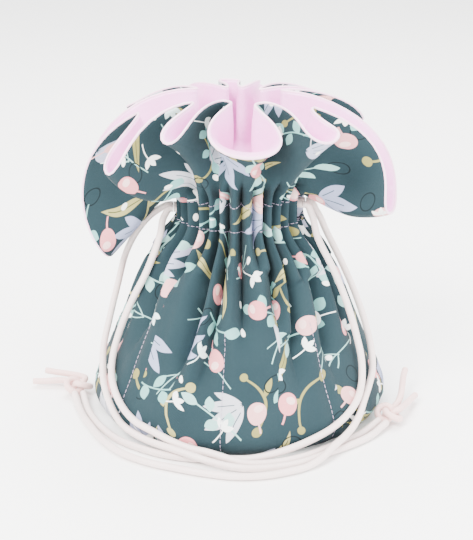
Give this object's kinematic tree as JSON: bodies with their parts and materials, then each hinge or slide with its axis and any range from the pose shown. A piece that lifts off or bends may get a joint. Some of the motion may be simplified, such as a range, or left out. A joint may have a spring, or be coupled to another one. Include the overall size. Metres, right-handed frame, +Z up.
{
  "type": "drawstring pouch",
  "caption": "Round-bottomed drawstring pouch of printed cotton with a satin lining, inner pockets, a gathered neck and a ruffled collar, closed by knotted satin cords.",
  "frame": {"origin": "under the middle of the base, on the surface that the pouch stands on", "axes": "+Z up; the side shown in the picture faces -Y; +X to the right of that view"},
  "size_m": [0.1739, 0.147, 0.137],
  "materials": {
    "printed_cotton": "fine twill cotton, matt, slate teal with a scattered leaf print",
    "pink_satin": "smooth pink satin, soft sheen",
    "blush_cord": "ribbed satin rattail cord, pale blush"
  },
  "bodies": {
    "root": {"outer_shell": "printed_cotton", "satin_lining": "pink_satin", "inner_pockets": "pink_satin", "neck_cord_left": "blush_cord", "neck_cord_right": "blush_cord", "strand_left_front": "blush_cord", "strand_left_back": "blush_cord", "strand_right_inner": "blush_cord", "strand_right_outer": "blush_cord", "knot_left": "blush_cord", "knot_right": "blush_cord"}
  },
  "joints": []
}
